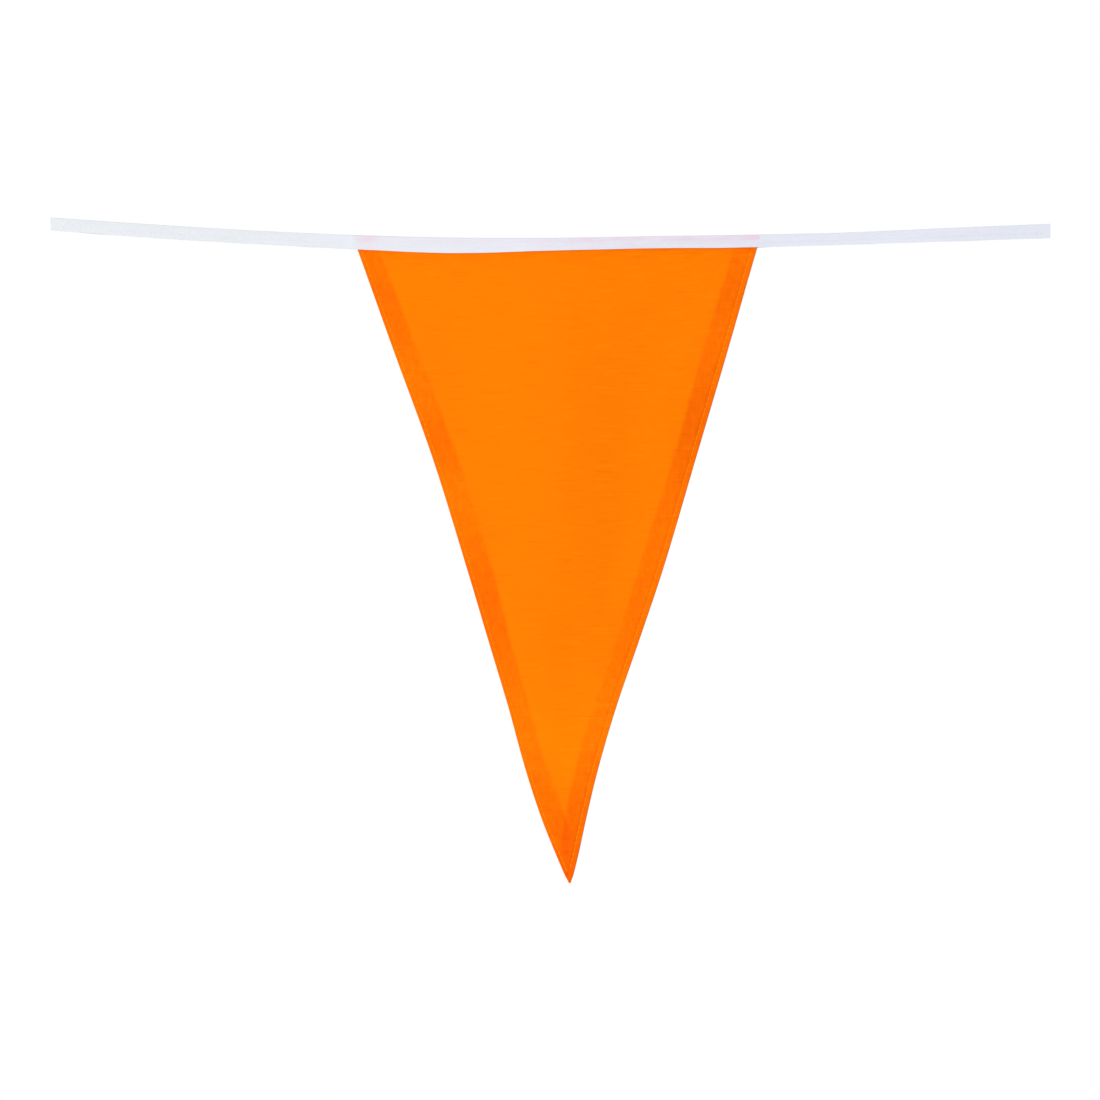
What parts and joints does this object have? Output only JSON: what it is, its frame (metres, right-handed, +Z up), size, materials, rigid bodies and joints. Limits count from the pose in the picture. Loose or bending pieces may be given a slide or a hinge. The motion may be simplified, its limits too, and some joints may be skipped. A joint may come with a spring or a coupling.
{
  "type": "bunting",
  "caption": "Length of bunting: a triangular cloth pennant with turned side hems, hanging point down from a narrow folded tape.",
  "frame": {"origin": "on the tape's folded top edge, halfway between its two cut ends", "axes": "+X along the tape to the viewer's right, +Y away from the viewer (the hems are turned to this side), +Z up"},
  "size_m": [0.5, 0.0101, 0.3333],
  "materials": {
    "pennant_cloth": "thin plain-woven orange cloth, matt, with darker doubled hems",
    "tape_white": "narrow woven white tape, folded lengthwise, soft sheen"
  },
  "bodies": {
    "root": {"pennant": "pennant_cloth", "tape": "tape_white"}
  },
  "joints": []
}
